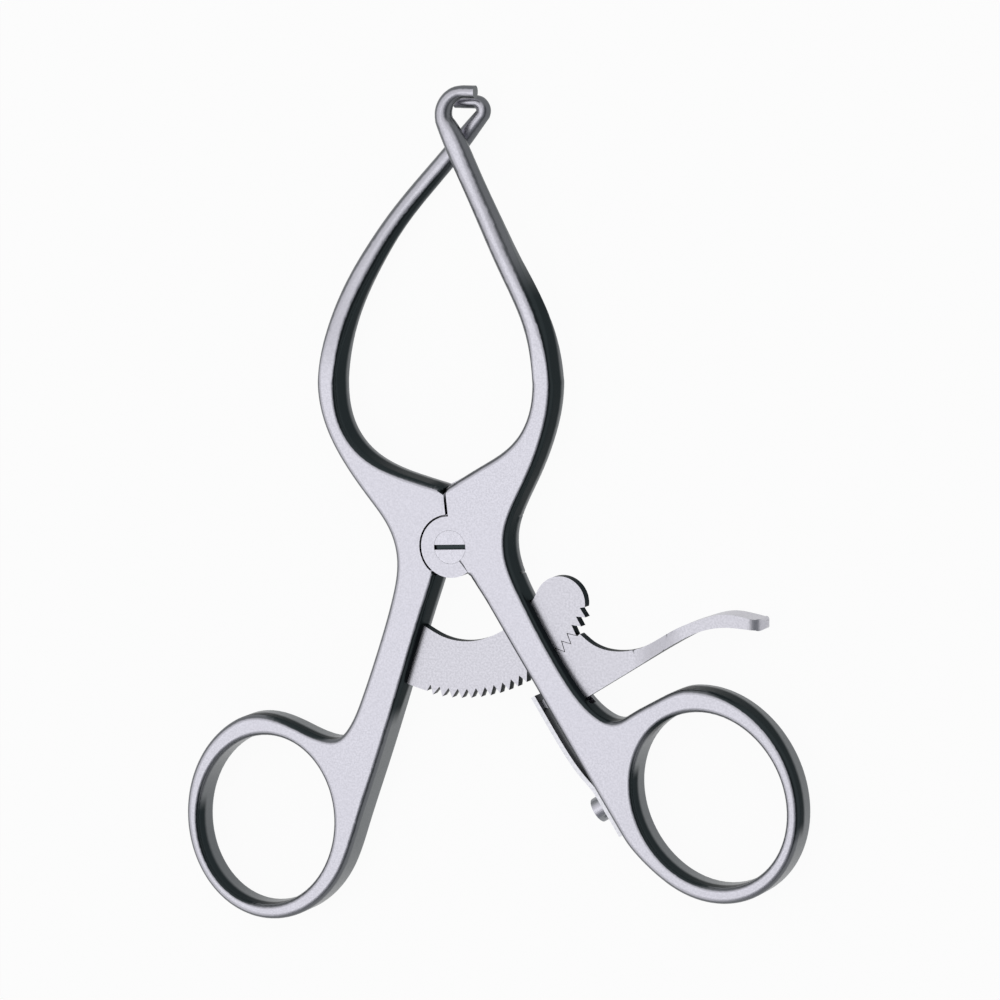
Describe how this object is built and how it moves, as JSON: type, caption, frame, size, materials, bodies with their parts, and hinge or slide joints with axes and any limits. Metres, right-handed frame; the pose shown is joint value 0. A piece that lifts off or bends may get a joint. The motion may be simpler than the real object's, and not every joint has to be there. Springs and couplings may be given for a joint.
{
  "type": "self retaining retractor",
  "caption": "Ring-handled surgical retractor whose crossed, hooked jaws spread when squeezed and are held open by a toothed bar and a sprung release lever.",
  "frame": {"origin": "On the axis of the joint screw, in the plane of the flat back face", "axes": "+Z out of the front face, +Y from the joint towards the hooks, +X towards the side of the release lever"},
  "size_m": [0.1326, 0.1711, 0.008],
  "materials": {
    "forged_steel": "satin",
    "plate_steel": "satin",
    "spring_steel": "satin",
    "screw_steel": "satin"
  },
  "bodies": {
    "catch_arm": {"catch_arm": "forged_steel", "lever_pin": "screw_steel", "leaf_spring": "spring_steel", "spring_screw": "screw_steel"},
    "ratchet_arm": {"ratchet_arm": "forged_steel", "ratchet_bar": "plate_steel", "ratchet_rivets": "screw_steel", "joint_screw": "screw_steel"},
    "release_lever": {"release_lever": "plate_steel"}
  },
  "joints": [
    {"name": "jaw_spread", "type": "hinge", "parent": "catch_arm", "child": "ratchet_arm", "pos_m": [0, 0, 0], "axis": [0, 0, 1], "range_deg": [0, 46.8]},
    {"name": "lever_release", "type": "hinge", "parent": "catch_arm", "child": "release_lever", "pos_m": [0.0206, -0.02715, 0], "axis": [0, 0, -1], "range_deg": [0, 13.5], "stiffness_Nm_per_rad": 0.4, "springref_deg": -5.73, "deforming": ["leaf_spring"]}
  ]
}
